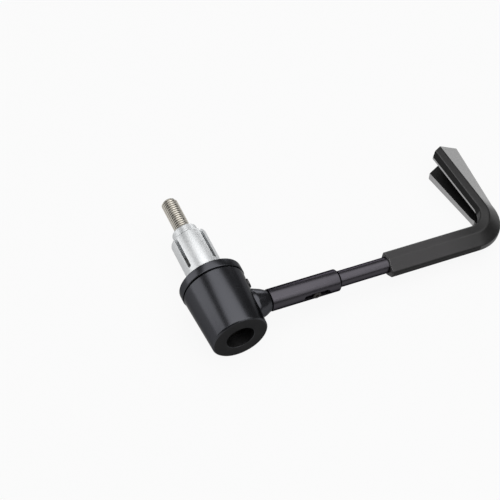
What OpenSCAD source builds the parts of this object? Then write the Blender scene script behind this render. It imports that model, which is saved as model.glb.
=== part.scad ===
// Brake lever guard for one end of a handlebar.
// Y runs along the handlebar towards its middle, X along the guard's arm to the blade, Z up.
// The origin is on the bar axis, in the end plane of the ring that meets the grip.

/* [Bar end body] */
// Diameter of the outer face
face_d = 27; // [24:0.5:29]
// Width of the bright chamfer round the outer face
face_chamfer = 0.6; // [0.2:0.1:1.2]
// Diameter where the body meets the groove behind the end ring
body_d = 30.2; // [29.4:0.1:32]
// Length from the outer face to the end plane of the ring
body_l = 34.2; // [31:0.2:40]
// Diameter of the bore that takes the bolt head
head_bore_d = 13.6; // [13.4:0.1:15]
// Depth from the outer face to the seat of the bolt head's washer
head_seat_depth = 15.5; // [12:0.5:17]

/* [End ring] */
// Outer diameter of the ring
ring_d = 31; // [30.6:0.2:34]
// Length of the ring that shows
ring_l = 4.2; // [3.6:0.2:6]
// Inner diameter of the ring's open mouth
ring_mouth_d = 27.4; // [25:0.2:28.4]
// Depth of the open mouth
ring_mouth_depth = 3; // [1.6:0.2:3.2]
// Rounding of the ring's outer edges
ring_edge = 0.5; // [0.2:0.1:0.8]
// Width of the groove between the ring and the body
groove_w = 0.6; // [0.3:0.1:1]
// Depth of that groove below the ring
groove_depth = 1; // [0.5:0.1:1.4]
// Wall of the body round the ring's spigot
body_wall = 5.1; // [4.4:0.1:6]
// Length of that spigot
spigot_l = 8; // [6:0.5:9]

/* [Seat hub] */
// Diameter of the stepped hub that the handlebar's end seats on
hub_d = 22.6; // [20:0.2:24]
// Height of the hub's flange
hub_flange_h = 1.4; // [0.8:0.1:2]
// Height of the collar on the flange
hub_collar_h = 1.2; // [0.6:0.1:2]
// Diameter of that collar
hub_collar_d = 19.4; // [18.4:0.2:21]

/* [Expander sleeve] */
// Outer diameter of the sleeve, for the handlebar's bore
sleeve_d = 17.8; // [16.6:0.1:18.2]
// Length of the sleeve from the hub to the ends of its petals
sleeve_l = 28.4; // [26:0.2:32]
// Inner diameter of the sleeve between its base and the cone
sleeve_bore_d = 11; // [10:0.2:12]
// Thickness of the sleeve's closed base
sleeve_base_h = 3; // [2:0.5:5]
// Number of lengthwise slots
slot_count = 4; // [3:1:6]
// Width of each slot
slot_w = 1.5; // [1:0.1:2.4]
// Length of each slot from its round end to the open end
slot_l = 15.6; // [12:0.2:18]
// Turn of the first slot from the direction of the arm
slot_turn = 38; // [0:1:89]

/* [Wedge nut] */
// Diameter of the nut's nose that stands out of the sleeve
nose_d = 12.8; // [11.8:0.1:13.2]
// Length of the nose
nose_l = 5.6; // [4:0.2:7]
// Largest diameter of the nut's cone
cone_d = 14.8; // [14.2:0.1:15.4]
// Smallest diameter of the nut's cone
cone_end_d = 11.4; // [11.2:0.1:12.4]
// Length of the cone
cone_l = 9; // [7:0.5:11]
// Number of grip notches round the cone's wide edge
notch_count = 28; // [16:2:36]
// Clearance between the cone and the petals, and round the bolt
nut_gap = 0.03; // [0.01:0.01:0.08]

/* [Clamp bolt] */
// Thread diameter of the bolt
bolt_d = 8; // [7.6:0.1:8.4]
// Length of the bolt under its head
bolt_l = 70; // [66:0.5:76]
// Diameter of the bolt's head
head_d = 13; // [12:0.1:13.3]
// Height of the bolt's head
head_h = 8; // [6:0.5:9]
// Width of the hexagon socket across its flats
hex_af = 6; // [5:0.5:7]
// Depth of the hexagon socket
hex_depth = 4.4; // [3:0.2:5]
// Thickness of the washer under the head
washer_h = 1.6; // [1:0.1:2]
// Clearance of the bolt in the holes that it passes
bolt_clear = 0.25; // [0.1:0.05:0.5]

/* [Body lock screw] */
// Diameter of the lock screw in the body's side
lock_d = 4.6; // [3.6:0.2:5.4]
// Distance of the lock screw from the ring's end plane
lock_y = 10.2; // [9:0.1:11]
// Angle of the lock screw above the arm
lock_angle = 17; // [12:1:24]
// Depth of the lock screw below the body's surface
lock_sink = 0.9; // [0.4:0.1:1.4]

/* [Arm] */
// Distance of the arm's axis from the outer face
arm_from_face = 14.65; // [13:0.1:16]
// Distance from the bar axis to the start of the barrel
barrel_x0 = 20.8; // [19.6:0.2:24]
// Length of the barrel
barrel_l = 35.8; // [30:0.2:40]
// Outer diameter of the barrel
barrel_d = 10.6; // [10:0.1:12]
// Chamfer at the barrel's open end
barrel_chamfer = 0.8; // [0.3:0.1:1.2]
// Diameter of the root's foot on the body
root_foot_d = 15.8; // [14:0.2:17]
// Diameter of the root at its shoulder
root_shoulder_d = 13.3; // [12:0.1:14]
// Distance from the barrel back to the shoulder
root_shoulder_l = 3; // [2:0.2:4]
// Diameter of the root at the barrel
root_end_d = 9.6; // [9:0.1:10.4]
// Diameter of the root's stud in the body and its spigot in the barrel
stud_d = 6; // [5:0.2:7]
// Depth of the stud in the body
stud_l = 5; // [3:0.5:5.5]
// Length of the root's spigot in the barrel
root_spigot_l = 4.4; // [3:0.2:6]
// Outer diameter of the sliding tube
tube_d = 7.8; // [7:0.1:8.2]
// Bore of the sliding tube
tube_bore_d = 4.6; // [3.6:0.2:5.4]
// Running clearance of the tube in the barrel
tube_clear = 0.05; // [0.02:0.01:0.09]

/* [Length adjustment] */
// Distance from the barrel's open end to the middle of its slot
slot_from_end = 13.3; // [11:0.1:15]
// Length of the slot with its round ends
adjust_slot_l = 13.6; // [11:0.2:16]
// Width of the sunk slot that takes the screw's head
adjust_slot_w = 4; // [3.6:0.1:4.6]
// Depth of the sunk slot
adjust_slot_depth = 0.75; // [0.5:0.05:0.9]
// Width of the through slot below it
through_slot_w = 2.6; // [2.2:0.1:3]
// Clearance round the screw in both slots
adjust_clear = 0.06; // [0.04:0.01:0.1]
// Travel of the tube each way from its middle place
adjust_travel = 4.5; // [2:0.1:4.6]

/* [Guard] */
// Distance from the bar axis to the guard's socket end
guard_x0 = 82.2; // [76:0.2:88]
// Distance from the bar axis to the start of the bend
bend_x = 131; // [120:0.5:140]
// Radius of the inside of the bend
bend_r = 8.7; // [7:0.1:12]
// Angle that the bend turns through
bend_angle = 96; // [90:1:100]
// Length of the blade along its inner edge after the bend
blade_l = 37.1; // [30:0.5:44]
// Distance from the tube's axis to the guard's inner side
inner_off = 4.9; // [4.6:0.1:5.6]
// Width of the arm part
arm_w = 11.3; // [10.8:0.1:13]
// Width of the blade at its end
fin_w = 22.4; // [18:0.2:26]
// Width of the blade at the bend
fin_w0 = 12; // [11.4:0.1:14]
// Height of the blade's top above the tube's axis, at its end
blade_top = 7.2; // [6.6:0.1:9]
// Depth of the blade's underside below the tube's axis, at its end
blade_bottom = 12; // [11:0.1:14]
// Depth of the channel at the blade's end
channel_depth = 11.2; // [9:0.2:12]
// Length of the socket for the tube
socket_l = 28; // [20:0.5:34]
// Clearance of the tube in the socket
socket_gap = 0.02; // [0.01:0.01:0.05]
// Lengthening of the end cut for each millimetre across the blade
end_skew = 0.348; // [0.2:0.01:0.4]
// Lengthening of the end cut for each millimetre of height
end_rake = 0.105; // [0:0.005:0.15]
// Rounding of the guard's long edges
edge_round = 0.7; // [0.3:0.1:0.9]

/* [Hidden] */
$fn = 96;
cut = 0.5;
black_alu = [0.10, 0.10, 0.11];
black_nylon = [0.16, 0.16, 0.17];
black_steel = [0.07, 0.07, 0.08];
zinc = [0.80, 0.81, 0.82];
stainless = [0.72, 0.70, 0.66];

face_y = -body_l;
groove_y = -ring_l;
body_end_y = groove_y - groove_w;
head_seat_y = face_y + head_seat_depth;
head_under_y = head_seat_y - washer_h;
hub_y = -ring_mouth_depth;
hub_face_y = hub_y + hub_flange_h;
sleeve_y = hub_face_y + hub_collar_h;
sleeve_end_y = sleeve_y + sleeve_l;
bolt_hole_d = bolt_d + 2 * bolt_clear;
spigot_d = body_d - 2 * body_wall;
spigot_bore_gap = 0.05;
spigot_floor_gap = 0.3;

cone_slope = (cone_d - cone_end_d) / 2 / cone_l;
cone_y = sleeve_end_y - cone_l;
nose_end_y = sleeve_end_y + nose_l;
sleeve_chamfer = 0.5;
nose_chamfer = 0.7;
notch_w = 0.7;
notch_depth = 0.5;
notch_l = 2.2;
nose_mouth_d = bolt_d + 1.6;
nose_mouth_depth = 1.6;
bolt_chamfer = 1;
head_chamfer = 0.6;

arm_y = face_y + arm_from_face;
barrel_x1 = barrel_x0 + barrel_l;
barrel_bore_d = tube_d + 2 * tube_clear;
barrel_floor_x = barrel_x0 + root_spigot_l;
spigot_floor_clear = 0.4;
tube_x0 = barrel_floor_x + spigot_floor_clear + adjust_travel;
slot_x = barrel_x1 - slot_from_end;
ledge_r = barrel_d / 2 - adjust_slot_depth;
screw_head_d = adjust_slot_w - 2 * adjust_clear;
screw_shank_d = through_slot_w - 2 * adjust_clear;
screw_head_h = adjust_slot_depth - 2 * adjust_clear;
screw_hex_af = 1.5;
screw_hex_depth = 0.4;
lock_hex_af = 2.5;
lock_hex_depth = 1.8;
root_reach = 4;

inner_y = arm_y + inner_off;
bend_cx = bend_x;
bend_cy = inner_y + bend_r;
bend_steps = 12;
blade_steps = 8;
channel_start = 0.42;
channel_open = 2;

// Radius of the body's tapered side at a place along the bar axis
function body_r(y) = (face_d + (body_d - face_d) * (y - face_y) / (body_end_y - face_y)) / 2;

// Lays a shape drawn along Z down along the bar, towards the handlebar
module along_bar() {
    rotate([-90, 0, 0]) children();
}

// Lays a shape drawn along Z down along the arm, towards the blade
module along_arm() {
    translate([0, arm_y, 0]) rotate([0, 90, 0]) children();
}

// Turns a shape drawn along Z out of the body's side at the lock screw
module at_lock_screw() {
    translate([0, -lock_y, 0]) rotate([0, 90 - lock_angle, 0]) children();
}

// Turns a shape drawn along Z out of the arm's outward side at the slot
module at_adjust_slot() {
    translate([slot_x, arm_y, 0]) rotate([90, 0, 0]) children();
}

// Solid of the body's outside, which the arm's root also sits against
module body_outside() {
    along_bar() rotate_extrude()
        polygon([[0, face_y],
                 [face_d / 2 - face_chamfer, face_y],
                 [body_r(face_y + face_chamfer), face_y + face_chamfer],
                 [body_d / 2, body_end_y],
                 [0, body_end_y]]);
}

module bar_end_body() {
    color(black_alu) difference() {
        body_outside();
        along_bar() translate([0, 0, face_y - cut])
            cylinder(h = head_seat_depth + cut, d = head_bore_d);
        along_bar() translate([0, 0, face_y])
            cylinder(h = body_l, d = bolt_hole_d);
        along_bar() translate([0, 0, body_end_y - spigot_l - spigot_floor_gap])
            cylinder(h = spigot_l + spigot_floor_gap + cut, d = spigot_d + 2 * spigot_bore_gap);
        at_lock_screw() translate([0, 0, spigot_d / 4])
            cylinder(h = body_d, d = lock_d);
        along_arm() translate([0, 0, body_r(arm_y) - stud_l])
            cylinder(h = body_d, d = stud_d);
    }
}

module end_ring() {
    color(black_alu) along_bar() difference() {
        rotate_extrude()
            polygon([[0, body_end_y - spigot_l],
                     [spigot_d / 2, body_end_y - spigot_l],
                     [spigot_d / 2, body_end_y],
                     [ring_d / 2 - groove_depth, body_end_y],
                     [ring_d / 2 - groove_depth, groove_y],
                     [ring_d / 2 - ring_edge, groove_y],
                     [ring_d / 2, groove_y + ring_edge],
                     [ring_d / 2, -ring_edge],
                     [ring_d / 2 - ring_edge, 0],
                     [ring_mouth_d / 2, 0],
                     [ring_mouth_d / 2, hub_y],
                     [0, hub_y]]);
        translate([0, 0, -body_l]) cylinder(h = 2 * body_l, d = bolt_hole_d);
    }
}

module seat_hub() {
    color(black_steel) along_bar() difference() {
        translate([0, 0, hub_y]) union() {
            cylinder(h = hub_flange_h, d = hub_d);
            cylinder(h = hub_flange_h + hub_collar_h, d = hub_collar_d);
        }
        translate([0, 0, -body_l]) cylinder(h = 2 * body_l, d = bolt_hole_d);
    }
}

// One lengthwise slot with a round end, cut through one side of the sleeve
module sleeve_slot() {
    translate([0, -slot_w / 2, sleeve_end_y - slot_l + slot_w / 2])
        cube([sleeve_d, slot_w, slot_l]);
    translate([0, 0, sleeve_end_y - slot_l + slot_w / 2]) rotate([0, 90, 0])
        cylinder(h = sleeve_d, d = slot_w);
}

module expander_sleeve() {
    color(zinc) along_bar() difference() {
        rotate_extrude()
            polygon([[bolt_hole_d / 2, sleeve_y],
                     [sleeve_d / 2, sleeve_y],
                     [sleeve_d / 2, sleeve_end_y - sleeve_chamfer],
                     [sleeve_d / 2 - sleeve_chamfer, sleeve_end_y],
                     [cone_d / 2 + nut_gap, sleeve_end_y],
                     [cone_end_d / 2 + nut_gap, cone_y],
                     [sleeve_bore_d / 2, cone_y],
                     [sleeve_bore_d / 2, sleeve_y + sleeve_base_h],
                     [bolt_hole_d / 2, sleeve_y + sleeve_base_h]]);
        for (i = [0 : slot_count - 1])
            rotate([0, 0, slot_turn + i * 360 / slot_count]) sleeve_slot();
    }
}

module wedge_nut() {
    color(zinc) along_bar() difference() {
        rotate_extrude()
            polygon([[bolt_d / 2 + nut_gap, cone_y],
                     [cone_end_d / 2, cone_y],
                     [cone_d / 2, sleeve_end_y],
                     [nose_d / 2, sleeve_end_y],
                     [nose_d / 2, nose_end_y - nose_chamfer],
                     [nose_d / 2 - nose_chamfer, nose_end_y],
                     [nose_mouth_d / 2, nose_end_y],
                     [nose_mouth_d / 2, nose_end_y - nose_mouth_depth],
                     [bolt_d / 2 + nut_gap, nose_end_y - nose_mouth_depth]]);
        for (i = [0 : notch_count - 1])
            rotate([0, 0, i * 360 / notch_count])
                translate([cone_d / 2 - notch_depth, -notch_w / 2, sleeve_end_y - notch_l])
                    cube([cone_d, notch_w, notch_l + cut]);
    }
}

module clamp_bolt() {
    color(stainless) along_bar() difference() {
        rotate_extrude()
            polygon([[0, head_under_y - head_h],
                     [head_d / 2 - head_chamfer, head_under_y - head_h],
                     [head_d / 2, head_under_y - head_h + head_chamfer],
                     [head_d / 2, head_under_y],
                     [bolt_d / 2, head_under_y],
                     [bolt_d / 2, head_under_y + bolt_l - bolt_chamfer],
                     [bolt_d / 2 - bolt_chamfer, head_under_y + bolt_l],
                     [0, head_under_y + bolt_l]]);
        translate([0, 0, head_under_y - head_h - cut])
            cylinder(h = hex_depth + cut, d = hex_af / cos(30), $fn = 6);
    }
}

module head_washer() {
    color(stainless) along_bar() translate([0, 0, head_under_y]) difference() {
        cylinder(h = washer_h, d = head_d);
        translate([0, 0, -cut]) cylinder(h = washer_h + 2 * cut, d = bolt_hole_d);
    }
}

module body_lock_screw() {
    screw_r0 = spigot_d / 2;
    screw_r1 = body_r(-lock_y) - lock_sink;
    color(black_steel) at_lock_screw() difference() {
        translate([0, 0, screw_r0]) cylinder(h = screw_r1 - screw_r0, d = lock_d);
        translate([0, 0, screw_r1 - lock_hex_depth])
            cylinder(h = lock_hex_depth + cut, d = lock_hex_af / cos(30), $fn = 6);
    }
}

module arm_root() {
    foot_x = barrel_x0 - root_shoulder_l - root_reach;
    color(black_alu) union() {
        difference() {
            along_arm() rotate_extrude()
                polygon([[0, foot_x - root_reach],
                         [root_foot_d / 2, foot_x - root_reach],
                         [root_foot_d / 2, foot_x],
                         [root_shoulder_d / 2, barrel_x0 - root_shoulder_l],
                         [root_end_d / 2, barrel_x0],
                         [0, barrel_x0]]);
            body_outside();
        }
        along_arm() translate([0, 0, body_r(arm_y) - stud_l])
            cylinder(h = barrel_x0 - body_r(arm_y) + stud_l, d = stud_d);
        along_arm() translate([0, 0, barrel_x0])
            cylinder(h = root_spigot_l, d = stud_d);
    }
}

// A slot with round ends, drawn from the arm's axis outwards
module round_slot(width, length, from_r) {
    straight = length - width;
    for (side = [-1, 1])
        translate([side * straight / 2, 0, from_r]) cylinder(h = barrel_d, d = width);
    translate([-straight / 2, -width / 2, from_r]) cube([straight, width, barrel_d]);
}

module arm_barrel() {
    head_excess = adjust_slot_w - through_slot_w;
    color(black_alu) difference() {
        along_arm() rotate_extrude()
            polygon([[0, barrel_x0],
                     [barrel_d / 2, barrel_x0],
                     [barrel_d / 2, barrel_x1 - barrel_chamfer],
                     [barrel_d / 2 - barrel_chamfer, barrel_x1],
                     [0, barrel_x1]]);
        along_arm() translate([0, 0, barrel_x0 - cut])
            cylinder(h = root_spigot_l + 2 * cut, d = stud_d);
        along_arm() translate([0, 0, barrel_floor_x])
            cylinder(h = barrel_l, d = barrel_bore_d);
        at_adjust_slot() round_slot(adjust_slot_w, adjust_slot_l, ledge_r);
        at_adjust_slot() round_slot(through_slot_w, adjust_slot_l - head_excess, tube_bore_d / 2);
    }
}

module adjust_screw() {
    shank_r0 = tube_bore_d / 2;
    head_r0 = ledge_r + adjust_clear;
    color(black_steel) at_adjust_slot() difference() {
        union() {
            translate([0, 0, shank_r0]) cylinder(h = head_r0 - shank_r0, d = screw_shank_d);
            translate([0, 0, head_r0]) cylinder(h = screw_head_h, d = screw_head_d);
        }
        translate([0, 0, head_r0 + screw_head_h - screw_hex_depth])
            cylinder(h = screw_hex_depth + cut, d = screw_hex_af / cos(30), $fn = 6);
    }
}

module slide_tube() {
    tube_x1 = guard_x0 + socket_l;
    color(black_alu) difference() {
        along_arm() translate([0, 0, tube_x0]) cylinder(h = tube_x1 - tube_x0, d = tube_d);
        along_arm() translate([0, 0, tube_x0 - cut])
            cylinder(h = tube_x1 - tube_x0 + 2 * cut, d = tube_bore_d);
        at_adjust_slot() cylinder(h = tube_d, d = screw_shank_d);
    }
}

// Point at a distance across from the guard's inner side and a height, at a station
// before the bend (in mm), in it (0 to 1) or on the blade after it (1 plus mm)
function guard_point(t, w, z) =
    t < 0 ? [bend_cx + t, bend_cy - bend_r - w, z]
    : let (a = min(t, 1) * bend_angle, s = max(t - 1, 0))
      [bend_cx + (bend_r + w) * sin(a) + s * cos(a),
       bend_cy - (bend_r + w) * cos(a) + s * sin(a), z];

// Corners of the guard's section as [across, height], from the inner side round the top
arm_section = [[0, -2.7], [0, 3.4], [0.7, 4.3], [5.3, 4.9],
               [arm_w, 1.6], [arm_w, -1.8], [7.3, -4.5], [1.7, -4.6]];
bend_section = [[0, -7], [0, 1.8], [0.9, 5], [4, 5.7],
                [fin_w0, -0.8], [fin_w0, -3.4], [6.5, -8.1], [1, -7.9]];
end_section = [[0, 1.1 - blade_bottom], [0, 3], [0.3, blade_top - 0.2], [4.6, blade_top],
               [fin_w, -7.3], [fin_w, -10.5], [6.4, -blade_bottom], [0.9, 0.4 - blade_bottom]];

// Corners of the channel that is open along the blade's inner side
channel_first = [[-1, -1.2], [-1, 1.4], [1.2, 1.4], [1.8, 0.8], [1.8, 0], [1.2, -1.2]];
channel_bend = [[-1, -4.6], [-1, 1.8], [3, 1.8], [5.8, -0.8], [6.6, -2.8], [6.4, -4.6]];
channel_end = [[-1, -7.7], [-1, 2.9], [4.3, 2.5], [channel_depth - 1.4, -2.8],
               [channel_depth, -6], [channel_depth, -7.2]];

function mix(a, b, k) = a + (b - a) * k;
function mix_all(a, b, k) = [for (i = [0 : len(a) - 1]) mix(a[i], b[i], k)];
function toward(p, q, d) = p + (q - p) / norm(q - p) * min(d, 0.4 * norm(q - p));

// Gives every corner of a section a small round of three points
function softened(c, d) = [for (i = [0 : len(c) - 1])
    let (a = toward(c[i], c[(i + len(c) - 1) % len(c)], d),
         b = toward(c[i], c[(i + 1) % len(c)], d))
    for (p = [a, (a + 2 * c[i] + b) / 4, b]) p];

// Section of the guard at a station in the bend
function bend_mix(first, last, k) = mix_all(first, last, k * k * (3 - 2 * k));

// Stations of the end cut lie on one slanted plane
function end_s(w, z) = blade_l + end_skew * w + end_rake * (z - blade_top);

// Skins a closed solid over rings of points
module loft(rings) {
    n = len(rings[0]);
    m = len(rings);
    points = [for (r = rings) for (p = r) p];
    sides = [for (j = [0 : m - 2]) for (i = [0 : n - 1])
        let (i2 = (i + 1) % n)
        for (f = [[j * n + i, (j + 1) * n + i2, j * n + i2],
                  [j * n + i, (j + 1) * n + i, (j + 1) * n + i2]]) f];
    first = [[for (i = [0 : n - 1]) i]];
    last = [[for (i = [n - 1 : -1 : 0]) (m - 1) * n + i]];
    polyhedron(points, concat(sides, first, last));
}

// Rings of points along the blade, from the bend to a stretch past the slanted end cut
function blade_rings(first, last, steps, past) = [for (j = [1 : steps])
    let (k = j / steps, sec = mix_all(first, last, k))
    [for (i = [0 : len(sec) - 1])
        let (s_end = end_s(last[i][0], last[i][1]) + past)
        guard_point(1 + k * s_end, sec[i][0], sec[i][1])]];

module guard_outside() {
    arm_s = softened(arm_section, edge_round);
    bend_s = softened(bend_section, edge_round);
    end_s_ring = softened(end_section, edge_round);
    straight = [for (x = [guard_x0, bend_x - 0.01]) [for (p = arm_s) guard_point(x - bend_x, p[0], p[1])]];
    bend = [for (j = [1 : bend_steps]) let (k = j / bend_steps, s = bend_mix(arm_s, bend_s, k))
        [for (p = s) guard_point(k, p[0], p[1])]];
    loft(concat(straight, bend, blade_rings(bend_s, end_s_ring, blade_steps, 0)));
}

module guard_channel() {
    bend = [for (k = [channel_start, 0.6, 0.8, 1])
        let (q = (k - channel_start) / (1 - channel_start), s = mix_all(channel_first, channel_bend, q))
        [for (p = s) guard_point(k, p[0], p[1])]];
    loft(concat(bend, blade_rings(channel_bend, channel_end, blade_steps, channel_open)));
}

module guard_blade() {
    color(black_nylon) difference() {
        guard_outside();
        guard_channel();
        along_arm() translate([0, 0, guard_x0 - cut])
            cylinder(h = socket_l + cut, d = tube_d + 2 * socket_gap);
    }
}

bar_end_body();
end_ring();
seat_hub();
expander_sleeve();
wedge_nut();
clamp_bolt();
head_washer();
body_lock_screw();
arm_root();
arm_barrel();
adjust_screw();
slide_tube();
guard_blade();
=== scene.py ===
"""The looks of a brake lever guard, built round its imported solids."""
import math

import bmesh
import bpy
import numpy as np
from mathutils import Matrix, Vector


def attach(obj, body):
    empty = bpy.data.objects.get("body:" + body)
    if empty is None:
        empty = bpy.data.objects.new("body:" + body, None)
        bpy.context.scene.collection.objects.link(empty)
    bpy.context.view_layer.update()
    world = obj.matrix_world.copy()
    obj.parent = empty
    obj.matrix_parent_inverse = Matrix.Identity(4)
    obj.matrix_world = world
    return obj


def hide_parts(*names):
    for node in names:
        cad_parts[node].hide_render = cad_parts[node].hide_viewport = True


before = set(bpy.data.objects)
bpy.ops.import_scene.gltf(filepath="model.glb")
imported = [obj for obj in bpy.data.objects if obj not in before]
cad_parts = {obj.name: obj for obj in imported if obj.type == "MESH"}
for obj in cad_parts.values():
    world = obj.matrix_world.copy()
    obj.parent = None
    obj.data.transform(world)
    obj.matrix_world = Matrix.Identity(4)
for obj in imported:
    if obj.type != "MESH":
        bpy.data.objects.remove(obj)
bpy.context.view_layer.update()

# Bar end body
# A black anodised aluminium turning with a slight taper, bored from its outer face for the
# head of the clamp bolt and drilled in its side for a lock screw.
MM = 0.001
BAR = Matrix.Rotation(-math.pi / 2, 4, "X")
face_d, body_d, body_l = 27.0, 30.2, 34.2
face_y, body_end_y = -body_l, -4.8
face_chamfer = 0.6
head_bore_d, head_seat_y = 13.6, -18.7
bolt_hole_r = 4.25
spigot_r, spigot_l = 10.0, 8.0
spigot_end_y = body_end_y - spigot_l
spigot_hole_r, spigot_hole_y = spigot_r + 0.05, spigot_end_y - 0.3
lock_d, lock_y, lock_angle = 4.6, -10.2, 17.0


def body_r(y):
    """Radius of the tapered side at a place along the bar."""
    return (face_d + (body_d - face_d) * (y - face_y) / (body_end_y - face_y)) / 2


def eased(outline, steps=5):
    """Rounds each corner of an outline that is given with an easing length."""
    points = []
    for i, (r, z, *ease) in enumerate(outline):
        if not ease:
            points.append((r, z))
            continue
        corner = Vector((r, z))
        before = (Vector(outline[i - 1][:2]) - corner).normalized() * ease[0]
        after = (Vector(outline[(i + 1) % len(outline)][:2]) - corner).normalized() * ease[0]
        for k in range(steps + 1):
            t = k / steps
            points.append(tuple(corner + before * (1 - t) ** 2 + after * t ** 2))
    return points


def piece_from(name, points, faces):
    """A new object from points in millimetres."""
    mesh = bpy.data.meshes.new(name)
    mesh.from_pydata([Vector(p) * MM for p in points], [], faces)
    piece = bpy.data.objects.new(name, mesh)
    bpy.context.scene.collection.objects.link(piece)
    return piece


def shaded(piece, crisp):
    """Smooths the faces, but keeps each edge that turns by more than that many degrees."""
    piece.data.shade_smooth()
    piece.data.set_sharp_from_angle(angle=math.radians(crisp))
    return piece


def tidied(piece, crisp=32):
    """Welds the points that meet, turns every face outwards and shades the piece."""
    made = bmesh.new()
    made.from_mesh(piece.data)
    bmesh.ops.remove_doubles(made, verts=made.verts, dist=1e-7)
    bmesh.ops.dissolve_degenerate(made, edges=made.edges, dist=1e-7)
    bmesh.ops.recalc_face_normals(made, faces=made.faces)
    made.to_mesh(piece.data)
    made.free()
    return shaded(piece, crisp)


def turned(name, outline, lie=BAR, around=128, shape=None):
    """A turned piece: its outline gives radius, place along the axis and easing of a corner."""
    rings = np.array(eased(outline))
    turn = np.linspace(0, 2 * math.pi, around, endpoint=False)
    r = np.repeat(rings[:, :1], around, axis=1)
    z = np.repeat(rings[:, 1:], around, axis=1)
    if shape:
        r = shape(r, z, turn[None, :])
    grid = np.stack([r * np.cos(turn), r * np.sin(turn), z], axis=2).reshape(-1, 3)
    faces = []
    for j in range(len(rings)):
        low, high = j * around, (j + 1) % len(rings) * around
        faces += [(low + i, low + (i + 1) % around, high + (i + 1) % around, high + i)
                  for i in range(around)]
    lie_mm = lie.copy()
    lie_mm.translation = lie.translation / MM
    return tidied(piece_from(name, [lie_mm @ Vector(p) for p in grid], faces))


def cut_away(piece, *cutters, crisp=32):
    """Takes the cutters' shapes out of a piece."""
    for cutter in cutters:
        cut = piece.modifiers.new("cut", "BOOLEAN")
        cut.operation, cut.solver, cut.object = "DIFFERENCE", "EXACT", cutter
        result = bpy.data.meshes.new_from_object(
            piece.evaluated_get(bpy.context.evaluated_depsgraph_get()))
        piece.modifiers.clear()
        piece.data = result
        bpy.data.objects.remove(cutter)
    return shaded(piece, crisp)


def rod(name, diameter, low, high, lie, around=48):
    """A plain round cutter between two places on its axis."""
    return turned(name, [(0, low), (diameter / 2, low), (diameter / 2, high), (0, high)],
                  lie, around)


class Wire:
    """An output in a material. Sums and products on it add the nodes that work them out."""

    def __init__(self, socket):
        self.socket = socket

    def maths(self, operation, *values):
        node = self.socket.id_data.nodes.new("ShaderNodeMath")
        node.operation = operation
        for slot, value in zip(node.inputs, values):
            feed(slot, value)
        return Wire(node.outputs[0])

    def __add__(self, other):
        return self.maths("ADD", self, other)

    def __sub__(self, other):
        return self.maths("SUBTRACT", self, other)

    def __rsub__(self, other):
        return self.maths("SUBTRACT", other, self)

    def __mul__(self, other):
        return self.maths("MULTIPLY", self, other)

    def __gt__(self, other):
        return self.maths("GREATER_THAN", self, other)

    def __lt__(self, other):
        return self.maths("LESS_THAN", self, other)

    __radd__ = __add__
    __rmul__ = __mul__


def feed(slot, value):
    """Links a wire to a socket, or writes a number or a colour in it."""
    if isinstance(value, Wire):
        slot.id_data.links.new(value.socket, slot)
    elif isinstance(value, tuple) and slot.type == "RGBA":
        slot.default_value = (*value, 1.0)
    else:
        slot.default_value = value


class Nodes:
    """A tree of nodes, and the one way to add a node to it."""

    def __init__(self, tree):
        self.tree = tree

    def node(self, kind, settings, inputs, out=0):
        node = self.tree.nodes.new(kind)
        for label, value in settings.items():
            setattr(node, label, value)
        for label, value in inputs.items():
            feed(node.inputs[label], value)
        return Wire(node.outputs[out])

    def blend(self, amount, first, second):
        """A colour between two others."""
        return self.node("ShaderNodeMix", {"data_type": "RGBA"},
                         {0: amount, 6: first, 7: second}, 2)

    def rise(self, value, low, high):
        """How far a value has come from low to high, from 0 to 1."""
        return self.node("ShaderNodeMapRange", {}, {0: value, 1: low, 2: high})


class Finish(Nodes):
    """A material: its shader's fixed values, and the measures that its nodes start from."""

    def __init__(self, name, **fixed):
        self.material = bpy.data.materials.new(name)
        self.material.use_nodes = True
        super().__init__(self.material.node_tree)
        self.shader = self.tree.nodes["Principled BSDF"]
        for label, value in fixed.items():
            feed(self.shader.inputs[label.replace("_", " ")], value)
        self.place = self.node("ShaderNodeTexCoord", {}, {}, "Object")

    def noise(self, size, detail=2.0, vector=None):
        """Noise from 0 to 1, with lumps of about that size in millimetres."""
        return self.node("ShaderNodeTexNoise", {},
                         {"Vector": vector or self.place, "Scale": 0.6 / (size * MM),
                          "Detail": detail})

    def along(self, axis):
        """Place along one axis of the part, in millimetres."""
        return self.node("ShaderNodeSeparateXYZ", {}, {0: self.place}, axis) * (1 / MM)

    def off_bar(self):
        """Square of the distance from the handlebar's axis, in square millimetres."""
        across, upward = self.along(0), self.along(2)
        return across * across + upward * upward

    def facing(self, axis):
        """How far the surface faces along one axis of the part, from -1 to 1."""
        normal = self.node("ShaderNodeNewGeometry", {}, {}, "Normal")
        return self.node("ShaderNodeSeparateXYZ", {}, {0: normal}, axis)

    def stretched(self, x, y, z):
        """The place with each axis scaled, for marks that run one way."""
        return self.node("ShaderNodeVectorMath", {"operation": "MULTIPLY"},
                         {0: self.place, 1: (x, y, z)})

    def relief(self, height, depth):
        """Bumps of that depth in millimetres."""
        bump = self.node("ShaderNodeBump", {}, {"Height": height, "Strength": 1.0,
                                                "Distance": depth * MM})
        feed(self.shader.inputs["Normal"], bump)

    def vary(self, socket, value):
        feed(self.shader.inputs[socket], value)

    def on(self, *pieces):
        for piece in pieces:
            piece.data.materials.clear()
            piece.data.materials.append(self.material)


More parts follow.
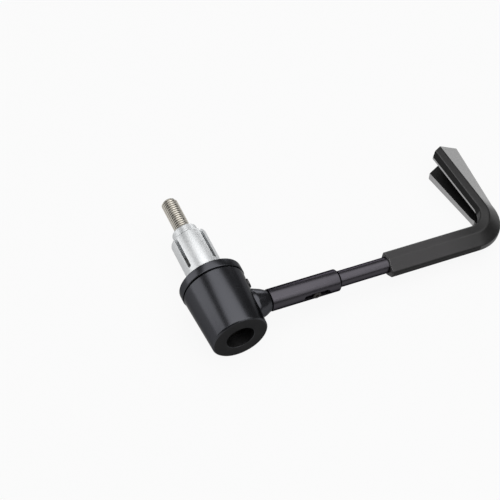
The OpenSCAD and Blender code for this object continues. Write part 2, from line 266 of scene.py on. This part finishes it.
at_lock = (Matrix.Translation((0, lock_y * MM, 0))
           @ Matrix.Rotation(math.radians(90 - lock_angle), 4, "Y"))
body = turned("bar_end_body_turned", [
    (bolt_hole_r, head_seat_y),
    (head_bore_d / 2, head_seat_y),
    (head_bore_d / 2, face_y, 0.3),
    (face_d / 2 - face_chamfer, face_y, 0.12),
    (body_r(face_y + face_chamfer), face_y + face_chamfer, 0.25),
    (body_d / 2, body_end_y, 0.2),
    (spigot_hole_r, body_end_y),
    (spigot_hole_r, spigot_hole_y),
    (bolt_hole_r, spigot_hole_y)])
cut_away(body, rod("lock_hole", lock_d, spigot_r / 2, body_d, at_lock))

black_body = Finish("black_anodised_body", Metallic=1.0, Specular_Tint=(0.5, 0.5, 0.5))
cloud = black_body.noise(9.0, 3.0)
grain = black_body.noise(0.12)
rings_cut = black_body.noise(0.5, 2.0, black_body.stretched(0.05, 4.0, 0.05))
black_body.vary("Base Color", black_body.blend(cloud, (0.050, 0.051, 0.057), (0.060, 0.061, 0.067)))
black_body.vary("Roughness", 0.2 + 0.07 * cloud + 0.04 * rings_cut)
black_body.relief(grain * 0.5 + rings_cut * 0.5, 0.0012)
black_body.on(body)

matt_face = Finish("black_anodised_face", Metallic=1.0, Specular_Tint=(0.3, 0.3, 0.3))
film = matt_face.noise(3.0, 3.0)
matt_face.vary("Base Color", matt_face.blend(film, (0.036, 0.036, 0.037), (0.046, 0.046, 0.047)))
matt_face.vary("Roughness", 0.5 + 0.1 * film)
matt_face.relief(matt_face.noise(0.15), 0.004)
body.data.materials.append(matt_face.material)
margin = 0.05
for side in body.data.polygons:
    flat = side.normal.y < -0.99 and side.center.y < (face_y + margin) * MM
    near_axis = side.center.xz.length < (head_bore_d / 2 + margin) * MM
    bored = near_axis and side.center.y < body_end_y * MM
    side.material_index = int(flat or bored)
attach(body, "bar_end")
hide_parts("bar_end_body")

# End ring
# A ring of the same black aluminium behind a narrow groove. Its spigot sits in the body and
# its open mouth faces the grip.
ring_r, ring_l = 15.5, 4.2
ring_mouth_r, hub_y = 13.7, -3.0
groove_r = ring_r - 1.0
ring = turned("end_ring_turned", [
    (bolt_hole_r, hub_y),
    (ring_mouth_r, hub_y, 0.3),
    (ring_mouth_r, 0, 0.35),
    (ring_r, 0, 0.5),
    (ring_r, -ring_l, 0.4),
    (groove_r, -ring_l),
    (groove_r, body_end_y),
    (spigot_r, body_end_y),
    (spigot_r, spigot_end_y),
    (bolt_hole_r, spigot_end_y)])
black_body.on(ring)
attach(ring, "bar_end")
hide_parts("end_ring")

# Seat hub
# A stepped black steel disc on the floor of the ring's mouth, where the bar's end seats.
hub_r, hub_step_r = 11.3, 9.7
hub_face_y, sleeve_y = -1.6, -0.4
hub = turned("seat_hub_turned", [
    (bolt_hole_r, hub_y),
    (hub_r, hub_y),
    (hub_r, hub_face_y, 0.25),
    (hub_step_r, hub_face_y, 0.15),
    (hub_step_r, sleeve_y, 0.2),
    (bolt_hole_r, sleeve_y)])

black_steel = Finish("black_oxide_steel", Metallic=1.0, Specular_Tint=(0.3, 0.3, 0.3))
mottle = black_steel.noise(1.5, 3.0)
black_steel.vary("Base Color", black_steel.blend(mottle, (0.040, 0.040, 0.043), (0.060, 0.058, 0.058)))
black_steel.vary("Roughness", 0.24 + 0.14 * mottle)
black_steel.relief(black_steel.noise(0.15), 0.002)
black_steel.on(hub)
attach(hub, "bar_end")
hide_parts("seat_hub")

# Expander sleeve
# A bright turned sleeve, slit from its open end so that the wedge nut can spread its petals
# in the handlebar. A shallow keyway runs inside each petal.
sleeve_r, sleeve_end_y = 8.9, 25.1
sleeve_bore_r, sleeve_floor_y = 5.0, sleeve_y + 3
cone_y, cone_r0, cone_r1, cone_fit = 16.1, 5.1, 6.7, 0.03
slot_w, slot_l, slot_count, slot_turn = 1.9, 18.1, 4, 33.0
keyway_w, keyway_r = 2.1, 7.5
sleeve = turned("expander_sleeve_turned", [
    (bolt_hole_r, sleeve_y),
    (sleeve_r, sleeve_y, 0.15),
    (sleeve_r, sleeve_end_y, 0.5),
    (cone_r1 + cone_fit, sleeve_end_y, 0.1),
    (cone_r0 + cone_fit, cone_y),
    (sleeve_bore_r, cone_y),
    (sleeve_bore_r, sleeve_floor_y),
    (bolt_hole_r, sleeve_floor_y)], around=192)
slot_floor = sleeve_end_y - slot_l + slot_w / 2
saw_reach, overrun = 12, 2


def turned_round_bar(degrees):
    """The bar's own lie, turned by an angle round its axis."""
    return BAR @ Matrix.Rotation(math.radians(degrees), 4, "Z")


def sleeve_saw(degrees, width, low, reach):
    """A flat cutter from the axis out, turned round the bar, that ends past the open end."""
    edge = [(0, -width / 2), (reach, -width / 2), (reach, width / 2), (0, width / 2)]
    points = [(x, y, z) for z in (low, sleeve_end_y + overrun) for x, y in edge]
    lie = turned_round_bar(degrees).to_3x3()
    return tidied(piece_from("saw", [lie @ Vector(p) for p in points],
                             [(0, 1, 2, 3), (4, 5, 6, 7), (0, 1, 5, 4),
                              (1, 2, 6, 5), (2, 3, 7, 6), (3, 0, 4, 7)]))


for i in range(slot_count):
    degrees = slot_turn + i * 360 / slot_count
    drill_lie = (turned_round_bar(degrees) @ Matrix.Translation((0, 0, slot_floor * MM))
                 @ Matrix.Rotation(math.pi / 2, 4, "Y"))
    cut_away(sleeve,
             sleeve_saw(degrees, slot_w, slot_floor, saw_reach),
             rod("drill", slot_w, 0, saw_reach, drill_lie, 24),
             sleeve_saw(degrees + 180 / slot_count, keyway_w, cone_y, keyway_r))

bright_alloy = Finish("bright_turned_alloy", Metallic=1.0)
streak = bright_alloy.noise(0.35, 3.0, bright_alloy.stretched(0.15, 3.0, 0.15))
smear = bright_alloy.noise(5.0, 3.0)
# Painted shade and reflection: the sleeve's colour darkens towards the ring, standing for the black
# ring mirrored in its base.
clear_of_painted_shade = bright_alloy.rise(bright_alloy.along(1), 2.5, 5.0)
alloy_tone = bright_alloy.blend(smear, (0.56, 0.575, 0.585), (0.66, 0.67, 0.675))
bright_alloy.vary("Base Color", bright_alloy.blend(clear_of_painted_shade, (0.33, 0.34, 0.345), alloy_tone))
bright_alloy.vary("Roughness", 0.34 + 0.1 * smear + 0.08 * streak)
bright_alloy.relief(streak, 0.009)
# Painted light: inside the sleeve the metal is made half diffuse, so its bore and keyways read lighter
# through the slots.
painted_inner_light = (bright_alloy.off_bar() < 6.9 ** 2) * (bright_alloy.along(1) < sleeve_end_y)
bright_alloy.vary("Metallic", 1 - 0.5 * painted_inner_light)
bright_alloy.on(sleeve)
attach(sleeve, "bar_end")
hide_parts("expander_sleeve")

# Wedge nut
# A bright cone nut drawn into the sleeve by the bolt. Notches round its wide edge keep it
# from turning, and a plain nose stands out of the sleeve.
notch_count, notch_l, notch_depth = 28, 2.2, 0.3
nut_bore_r, nose_r, nose_end_y = 4.03, 6.2, 30.5
mouth_r, mouth_l = 4.8, 1.6


def notched(r, z, turn):
    """Lowers the cone's wide edge at each notch."""
    wave = np.clip(np.cos(turn * notch_count) * 2.2 - 0.6, 0, 1)
    edge = (z > sleeve_end_y - notch_l) & (z < sleeve_end_y + 0.01) & (r > nose_r + 0.2)
    return np.where(edge, r - notch_depth * wave, r)


nut = turned("wedge_nut_turned", [
    (nut_bore_r, cone_y),
    (cone_r0, cone_y),
    (cone_r1 - notch_depth, sleeve_end_y - notch_l - 0.05),
    (cone_r1 - notch_depth + 0.01, sleeve_end_y - notch_l),
    (cone_r1, sleeve_end_y, 0.15),
    (nose_r, sleeve_end_y, 0.15),
    (nose_r, nose_end_y, 0.6),
    (mouth_r, nose_end_y, 0.2),
    (mouth_r, nose_end_y - mouth_l),
    (nut_bore_r, nose_end_y - mouth_l)], around=336, shape=notched)
bright_alloy.on(nut)
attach(nut, "bar_end")
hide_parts("wedge_nut")

# Clamp bolt
# A stainless M8 cap screw, 70 mm long under its head. The thread is rolled and ends in a
# plain chamfered point.
head_under_y, bolt_l = -20.3, 70.0
head_r, head_l, head_key_w, head_key_l = 6.5, 8.0, 6, 4.4
head_end_y = head_under_y - head_l
bolt_r, thread_root_r, pitch, steps_a_turn = 3.97, 3.32, 1.25, 10
thread_from, bolt_end_y = 6.0, head_under_y + bolt_l
point_r, point_l = 3.1, 0.9


def threaded(r, z, turn):
    """Raises a right-handed ridge on the shank and lets it rise from its near end."""
    phase = (z / pitch - turn / (2 * math.pi)) % 1.0
    ridge = 0.5 - 0.5 * np.cos(2 * math.pi * phase)
    cut = thread_root_r + (bolt_r - thread_root_r) * ridge
    fade = np.clip((z - thread_from) / pitch, 0, 1)
    deep = r + (np.minimum(cut, r) - r) * fade
    return np.where((r > thread_root_r) & (z > thread_from), deep, r)


shank = [(bolt_r, y) for y in np.arange(thread_from, bolt_end_y - 1.0, pitch / steps_a_turn)]
bolt = turned("clamp_bolt_threaded", [
    (0, head_end_y),
    (head_r, head_end_y, 0.7),
    (head_r, head_under_y, 0.1),
    (bolt_r, head_under_y),
    *shank,
    (bolt_r, bolt_end_y - point_l),
    (point_r, bolt_end_y, 0.15),
    (0, bolt_end_y)], around=72, shape=threaded)


def hexagon_cutter(name, across_flats, low, high, lie):
    """A six-sided cutter between two places on its axis."""
    corner_r = across_flats / 2 / math.cos(math.pi / 6)
    return turned(name, [(0, low), (corner_r, low), (corner_r, high), (0, high)], lie, 6)


cut_away(bolt, hexagon_cutter("head_socket", head_key_w, head_end_y - 1, head_end_y + head_key_l, BAR),
         crisp=70)

stainless = Finish("stainless_steel", Metallic=1.0)
tone = stainless.noise(2.5, 3.0)
steel_tone = stainless.blend(tone, (0.60, 0.565, 0.50), (0.72, 0.69, 0.63))
# Painted shade: the thread's roots past the nut's nose are darkened.
low_in_thread = stainless.rise(stainless.off_bar(), 3.8 ** 2, 3.4 ** 2)
painted_root_shade = low_in_thread * (stainless.along(1) > nose_end_y)
root_shaded_tone = stainless.blend(painted_root_shade, steel_tone, (0.17, 0.158, 0.137))
# Painted shade: the head and shank inside the body's bore are darkened.
painted_bore_shade = stainless.along(1) < -12.0
stainless.vary("Base Color", stainless.blend(painted_bore_shade, root_shaded_tone, (0.07, 0.065, 0.06)))
stainless.vary("Roughness", 0.24 + 0.12 * tone)
# Painted light: within the sleeve the bolt is made less metallic, so it reads lighter through the
# slots.
painted_slot_light = (stainless.along(1) > 0.0) * (stainless.along(1) < sleeve_end_y)
stainless.vary("Metallic", 1 - 0.6 * painted_slot_light)
stainless.relief(stainless.noise(0.2), 0.003)
stainless.on(bolt)
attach(bolt, "bar_end")
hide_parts("clamp_bolt")

# Head washer
# A plain stainless washer at the bottom of the body's bore, under the bolt's head.
stainless.on(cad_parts["head_washer"])

# Body lock screw
# A black set screw with a hexagon socket. It stands a little out of the body's side near the
# arm.
lock_proud, lock_fit, lock_key_w, lock_key_l = 0.6, 0.02, 2.5, 1.8
lock_foot, lock_top = spigot_r + 0.2, body_r(lock_y) + lock_proud
lock_screw = turned("body_lock_screw_turned", [
    (0, lock_foot),
    (lock_d / 2 - lock_fit, lock_foot),
    (lock_d / 2 - lock_fit, lock_top, 0.4),
    (0, lock_top)], at_lock, 64)
cut_away(lock_screw,
         hexagon_cutter("lock_socket", lock_key_w, lock_top - lock_key_l, lock_top + 1, at_lock))
black_steel.on(lock_screw)
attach(lock_screw, "bar_end")
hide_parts("body_lock_screw")

# Arm root
# A flared black foot, turned and then fitted to the round of the body, that carries the
# barrel on a spigot.
arm_y, barrel_x0 = -19.55, 20.8
ARM = Matrix.Translation((0, arm_y * MM, 0)) @ Matrix.Rotation(math.pi / 2, 4, "Y")
foot_x0, foot_x1, foot_r = 9.8, 13.8, 7.7
shoulder_x, shoulder_r, neck_r, foot_fit = 17.8, 6.35, 4.8, 0.02
root = turned("arm_root_turned", [
    (0, foot_x0),
    (foot_r, foot_x0),
    (foot_r, foot_x1, 0.5),
    (shoulder_r, shoulder_x, 0.8),
    (neck_r, barrel_x0, 0.1),
    (0, barrel_x0)], ARM)
cut_away(root, turned("body_round", [
    (0, face_y),
    (face_d / 2 - face_chamfer - foot_fit, face_y),
    (body_r(face_y + face_chamfer) - foot_fit, face_y + face_chamfer),
    (body_d / 2 - foot_fit, body_end_y),
    (0, body_end_y)]))
black_body.on(root)
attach(root, "bar_end")
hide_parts("arm_root")

# Arm barrel
# The arm's fixed tube, bead blasted and anodised black. A long slot sunk in its outward side
# lets the adjusting screw travel.
barrel_l, barrel_r, barrel_bore_r, barrel_chamfer = 35.8, 5.3, 3.95, 1.1
stud_hole_r, stud_hole_l = 3.0, 4.4
barrel_x1 = barrel_x0 + barrel_l
window_x, window_w, window_l, window_sink = barrel_x1 - 13.3, 4.0, 13.6, 0.75
way_w, way_l, way_from = 2.6, window_l - 1.4, 2.3
barrel = turned("arm_barrel_turned", [
    (barrel_bore_r, barrel_x0 + stud_hole_l),
    (stud_hole_r, barrel_x0 + stud_hole_l),
    (stud_hole_r, barrel_x0),
    (barrel_r, barrel_x0, 0.35),
    (barrel_r, barrel_x1 - barrel_chamfer, 0.2),
    (barrel_r - barrel_chamfer, barrel_x1, 0.1),
    (barrel_bore_r, barrel_x1)], ARM, around=160)
outward = (Matrix.Translation((window_x * MM, arm_y * MM, 0))
           @ Matrix.Rotation(math.pi / 2, 4, "X"))


def slot_cutter(width, length, depth_from, depth_to=9):
    """A slot with round ends, looking out of the barrel's side."""
    half, r = (length - width) / 2, width / 2
    edge = [(half + r * math.cos(a), r * math.sin(a))
            for a in np.linspace(-math.pi / 2, math.pi / 2, 17)]
    edge += [(-x, -y) for x, y in edge]
    n = len(edge)
    out = outward.copy()
    out.translation /= MM
    points = [out @ Vector((x, y, z)) for z in (depth_from, depth_to) for x, y in edge]
    faces = [tuple(range(n)), tuple(range(n, 2 * n))]
    faces += [(i, (i + 1) % n, n + (i + 1) % n, n + i) for i in range(n)]
    return tidied(piece_from("slot_cutter", points, faces))


cut_away(barrel,
         slot_cutter(window_w, window_l, barrel_r - window_sink),
         slot_cutter(way_w, way_l, way_from))

black_arm = Finish("black_anodised_arm", Metallic=1.0, Specular_Tint=(0.15, 0.15, 0.15))
veil = black_arm.noise(7.0, 3.0)
blast = black_arm.noise(0.16)
black_arm.vary("Base Color", black_arm.blend(veil, (0.054, 0.051, 0.059), (0.066, 0.062, 0.070)))
black_arm.vary("Roughness", 0.24 + 0.06 * veil + 0.06 * blast)
black_arm.relief(blast, 0.004)
black_arm.on(barrel)
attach(barrel, "bar_end")
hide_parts("arm_barrel")

# Sliding tube
# A thinner tube of the same finish. It slides in the barrel and is pressed into the guard.
tube_x0, tube_x1, tube_r, tube_bore_r = 30.1, 110.2, 3.9, 2.3
screw_hole_d, screw_hole_l = 2.48, 6
tube = turned("slide_tube_turned", [
    (tube_bore_r, tube_x0),
    (tube_r, tube_x0, 0.2),
    (tube_r, tube_x1, 0.2),
    (tube_bore_r, tube_x1)], ARM)
cut_away(tube, rod("screw_hole", screw_hole_d, 0, screw_hole_l, outward, 32))
black_arm.on(tube)
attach(tube, "guard_arm")
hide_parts("slide_tube")

# Adjusting screw
# A small cap screw in the slot, which fixes the tube's place. Its black is dull, and painted very dark
# and brownish as painted shade for the slot it sits in.
slot_shade_steel = Finish("black_steel_painted_slot_shade", Metallic=0.0, IOR=1.35)
slot_shade_steel.vary("Base Color", slot_shade_steel.blend(slot_shade_steel.noise(0.8), (0.008, 0.006, 0.005), (0.014, 0.010, 0.008)))
slot_shade_steel.vary("Roughness", 0.55 + 0.1 * slot_shade_steel.noise(0.4))
slot_shade_steel.on(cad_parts["adjust_screw"])

# Guard
# One matt black nylon moulding: a six-sided arm part over the tube, a bend, and a blade with
# a channel along its inner side and a fin that grows towards the end.
guard_x0, bend_x = 82.2, 131.0
bend_r, bend_angle, blade_l = 8.7, math.radians(96), 37.1
arm_w, fin_w0, fin_w = 11.3, 11.2, 22.1
blade_top, blade_bottom, channel_depth = 7.2, 12.2, 11.2
end_skew, end_rake, edge_round = 0.348, 0.105, 0.7
socket_l, socket_fit, mouth_chamfer = 28, 0.04, 0.4
tube_w = 4.9
inner_y = arm_y + tube_w
arm_section = [(0, -2.7), (0, 3.4), (0.7, 4.3), (5.3, 4.9),
               (arm_w, 1.6), (arm_w, -2.1), (7.5, -4.7), (1.7, -4.7)]
bend_section = [(-1, -7.7), (-1, 2.2), (-0.2, 5.5), (4, 5.7),
                (fin_w0, -0.8), (fin_w0, -3.7), (6.5, -8.5), (0, -8.6)]
end_section = [(-0.6, 0.8 - blade_bottom), (-0.6, 3.4), (0.4, blade_top - 0.2), (4.4, blade_top),
               (fin_w, -7.3), (fin_w, -10.5), (6.4, -blade_bottom), (0.3, 0.1 - blade_bottom)]
channel_start = 0.42
channel_first = [(-2, -1.2), (-2, 1.2), (1.2, 1.4), (1.8, 0.8), (1.8, 0), (1.2, -1.2)]
channel_bend = [(-2, -4.6), (-2, 1.2), (3, 1.8), (5.8, -0.8), (6.6, -2.8), (6.4, -4.6)]
channel_end = [(-2, -7.7), (-2, 2.4), (4.3, 2.5), (channel_depth - 1.4, -2.8),
               (channel_depth, -6), (channel_depth, -7.2)]


def guard_point(t, w, z):
    """A point at a station before the bend (t < 0), in it (0 to 1) or past it (1 plus mm)."""
    if t < 0:
        return (bend_x + t, inner_y - w, z)
    a, s = min(t, 1) * bend_angle, max(t - 1, 0)
    return (bend_x + (bend_r + w) * math.sin(a) + s * math.cos(a),
            inner_y + bend_r - (bend_r + w) * math.cos(a) + s * math.sin(a), z)


def guard_ring(t, section):
    """A section of the guard, set at a station."""
    return [guard_point(t, w, z) for w, z in section]


def softened(section, reach, steps=5):
    """Rounds every corner of a closed section."""
    corners = np.array(section, float)
    made = []
    for i, p in enumerate(corners):
        sides = []
        for q in (corners[i - 1], corners[(i + 1) % len(corners)]):
            length = np.linalg.norm(q - p)
            sides.append((q - p) / length * min(reach, 0.4 * length))
        made += [p + sides[0] * (1 - k / steps) ** 2 + sides[1] * (k / steps) ** 2
                 for k in range(steps + 1)]
    return np.array(made)


def lofted(name, rings):
    """A closed skin over rings of points."""
    n, m = len(rings[0]), len(rings)
    points = [p for ring_points in rings for p in ring_points]
    faces = [(j * n + i, j * n + (i + 1) % n, (j + 1) * n + (i + 1) % n, (j + 1) * n + i)
             for j in range(m - 1) for i in range(n)]
    faces += [tuple(range(n)), tuple(range((m - 1) * n, m * n))]
    return tidied(piece_from(name, points, faces))


def blade_rings(first, last, steps, past):
    """Rings along the blade, to the slanted plane of its end or past it."""
    reach = [blade_l + end_skew * w + end_rake * (z - blade_top) + past for w, z in last]
    rings_made = []
    for k in np.arange(1, steps + 1) / steps:
        section = first + (last - first) * k
        rings_made.append([guard_point(1 + k * s, w, z) for s, (w, z) in zip(reach, section)])
    return rings_made


arm_ring = softened(arm_section, edge_round)
bend_ring = softened(bend_section, edge_round)
blade_ring = softened(end_section, edge_round)
to_tube = np.array((tube_w, 0)) - arm_ring
socket_mouth = arm_ring + to_tube * mouth_chamfer / np.linalg.norm(to_tube, axis=1)[:, None]
outside = [guard_ring(guard_x0 - bend_x, socket_mouth)]
outside += [guard_ring(x - bend_x, arm_ring)
            for x in np.linspace(guard_x0 + mouth_chamfer, bend_x - 0.01, 12)]
outside += [guard_ring(k, arm_ring + (bend_ring - arm_ring) * k * k * (3 - 2 * k))
            for k in np.linspace(0, 1, 25)[1:]]
outside += blade_rings(bend_ring, blade_ring, 24, 0)
guard = lofted("guard_moulding", outside)
first, at_bend, at_end = (np.array(s, float) for s in (channel_first, channel_bend, channel_end))
inside = [guard_ring(k, first + (at_bend - first) * (k - channel_start) / (1 - channel_start))
          for k in np.linspace(channel_start, 1, 15)]
inside += blade_rings(at_bend, at_end, 16, overrun)
channel = lofted("channel", inside)

nylon = Finish("black_moulded_nylon", Metallic=0.0, IOR=1.45, Coat_IOR=1.7, Coat_Roughness=0.2)
patchy = nylon.noise(6.0, 3.0)
spark = nylon.noise(0.22, 3.0)
past_arm = nylon.rise(nylon.along(0), 112.0, 128.0)
on_blade = nylon.rise(nylon.along(1), -9.0, -1.0)
outer_side = nylon.facing(1) < -0.6
# Painted shade: the nylon darkens past the arm and on the sides that face outward.
painted_dark_mask = nylon.node("ShaderNodeMath", {"operation": "MAXIMUM"}, {0: past_arm, 1: outer_side})
nylon_tone = nylon.blend(patchy, (0.016, 0.0148, 0.0158), (0.021, 0.0195, 0.0208))
nylon.vary("Base Color", nylon.blend(painted_dark_mask, nylon_tone, (0.003, 0.0028, 0.003)))
nylon.vary("Roughness", 0.42 + 0.08 * patchy + 0.08 * spark - 0.1 * past_arm)
nylon.vary("Coat Weight", on_blade * (nylon.facing(2) < 0.9))
nylon.relief(spark, 0.012)

# A darker copy of the nylon, painted shade for the channel, the arm's outer side and the upper lip's
# leaning face.
painted_shade_nylon = Finish("black_nylon_painted_shade", Metallic=0.0, IOR=1.3)
painted_shade_nylon.vary("Base Color", painted_shade_nylon.blend(painted_shade_nylon.noise(3.0), (0.004, 0.004, 0.004),
                                                   (0.006, 0.006, 0.006)))
painted_shade_nylon.vary("Roughness", 0.6 + 0.1 * painted_shade_nylon.noise(1.0))

# A lighter, glossier copy of the nylon, painted highlight for the crisp edges and the lips.
painted_highlight_nylon = Finish("black_nylon_painted_highlight", Metallic=0.0, IOR=3.8)
painted_highlight_nylon.vary("Base Color", painted_highlight_nylon.blend(painted_highlight_nylon.noise(2.0), (0.07, 0.066, 0.07),
                                                   (0.10, 0.095, 0.10)))
painted_highlight_nylon.vary("Roughness", 0.2 + 0.1 * painted_highlight_nylon.noise(1.0))

# Painted light on the guard: the channel, the arm's outer side and the leaning face of the upper lip
# take a darker copy of the nylon as painted shade. The lower lip, the upright land of the upper lip
# and the crisp edges take a lighter, glossier copy as painted highlight.
PLAIN, SHADE, HIGHLIGHT = 0, 1, 2
for piece in (guard, channel):
    for finish in (nylon, painted_shade_nylon, painted_highlight_nylon):
        piece.data.materials.append(finish.material)
for side in channel.data.polygons:
    side.material_index = SHADE
cut_away(guard, channel,
         rod("socket", 2 * tube_r + socket_fit, guard_x0 - 1, guard_x0 + socket_l, ARM, 96))
inward = Vector((-math.sin(bend_angle), math.cos(bend_angle), 0))
blade_from_y = inner_y + 6
for side in guard.data.polygons:
    leaning = side.normal.dot(inward)
    if side.material_index == PLAIN and leaning > 0.6 and side.center.y > blade_from_y * MM:
        side.material_index = HIGHLIGHT if leaning > 0.99 or side.center.z < 0 else SHADE
    if side.normal.y < -0.9 and side.center.x < (bend_x - 0.5) * MM:
        side.material_index = SHADE
# The bevelled edges take the painted highlight copy.
edges = guard.modifiers.new("edges", "BEVEL")
edges.width, edges.segments, edges.material = 0.3 * MM, 2, HIGHLIGHT
edges.limit_method, edges.angle_limit = "ANGLE", math.radians(38)
edges.harden_normals = False
level = guard.modifiers.new("level", "WEIGHTED_NORMAL")
level.keep_sharp = True
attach(guard, "guard_arm")
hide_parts("guard_blade")

# Studio
# A pale table, tilted to meet the part as it lies, one big lamp above it, two behind it and a
# weaker one in front.
slope_x, slope_y, table_y, table_z = 0.0383, -0.062, -2.0, -15.5
table_half = 6.0
normal = Vector((-slope_x, -slope_y, 1)).normalized()
table = piece_from("table", [(x, y, 0) for x, y in ((-1, -1), (1, -1), (1, 1), (-1, 1))],
                   [(0, 1, 2, 3)])
table.scale = (table_half / MM, table_half / MM, 1)
table.rotation_mode = "QUATERNION"
table.rotation_quaternion = Vector((0, 0, 1)).rotation_difference(normal)
table.location = (0, table_y * MM, table_z * MM)

pale = Finish("pale_table", Roughness=0.8, Specular_IOR_Level=0.1)
pale.vary("Base Color", pale.blend(pale.noise(400.0), (0.42, 0.42, 0.42), (0.44, 0.44, 0.44)))
glow = pale.node("ShaderNodeEmission", {}, {"Color": (1.0, 1.0, 1.0), "Strength": 1.0})
seen, mirrored, refracted = (pale.node("ShaderNodeLightPath", {}, {}, ray) for ray in (
    "Is Camera Ray", "Is Glossy Ray", "Is Transmission Ray"))
lit = pale.node("ShaderNodeMixShader", {}, {0: seen * 0.92 + (mirrored + refracted) * 0.6,
                                            1: Wire(pale.shader.outputs[0]), 2: glow})
feed(pale.tree.nodes["Material Output"].inputs["Surface"], lit)
pale.on(table)

world = bpy.data.worlds.new("studio")
bpy.context.scene.world = world
world.use_nodes = True
sky = Nodes(world.node_tree)
direction = sky.node("ShaderNodeTexCoord", {}, {}, "Generated")
height = sky.node("ShaderNodeSeparateXYZ", {}, {0: direction}, 2)
sky_tone = sky.blend(sky.rise(height, 0.03, 0.1), (0.3, 0.3, 0.3), (0.17, 0.17, 0.17))
feed(sky.tree.nodes["Background"].inputs["Color"], sky_tone)
feed(sky.tree.nodes["Background"].inputs["Strength"], 1.0)


def lamp(name, azimuth, elevation, distance, width, height, radiance, spin=0.0):
    """A soft lamp that looks at the part from a direction given in degrees."""
    light = bpy.data.lights.new(name, "AREA")
    light.shape, light.size, light.size_y = "RECTANGLE", width, height
    light.energy = radiance * math.pi * width * height
    holder = bpy.data.objects.new(name, light)
    bpy.context.scene.collection.objects.link(holder)
    a, e = math.radians(azimuth), math.radians(elevation)
    back = Vector((math.cos(a) * math.cos(e), math.sin(a) * math.cos(e), math.sin(e)))
    holder.location = Vector((0.05, 0, 0)) + back * distance
    holder.rotation_mode = "QUATERNION"
    holder.rotation_quaternion = ((-back).to_track_quat("-Z", "Y")
                                  @ Matrix.Rotation(math.radians(spin), 3, "Z").to_quaternion())
    holder.visible_camera = False


lamp("ceiling", 90, 89.9, 0.7, 1.1, 1.1, 2.1, 49)
lamp("back_wall", 56, 10, 0.8, 0.44, 0.3, 3.0)
lamp("left_wall", 150, 13, 0.8, 0.42, 0.62, 1.8)
lamp("front", -62, 38, 0.9, 0.6, 0.5, 1.7)

# Camera
# The photograph's own place and direction, found from the bar end's circles and the arm.
eye = (-0.2105, -0.3611, 0.5380)
right = Vector((0.9039, -0.4132, 0.1104)).normalized()
up = Vector((0.2609, 0.7373, 0.6231)).normalized()
camera = bpy.data.objects.new("camera", bpy.data.cameras.new("camera"))
bpy.context.scene.collection.objects.link(camera)
bpy.context.scene.camera = camera
camera.data.sensor_width, camera.data.lens = 36.0, 106.7
camera.data.clip_start, camera.data.clip_end = 0.05, 20.0
back = right.cross(up).normalized()
aim = Matrix((right, back.cross(right), back)).transposed().to_4x4()
camera.matrix_world = Matrix.Translation(eye) @ aim
bpy.context.scene.view_settings.view_transform = "Standard"
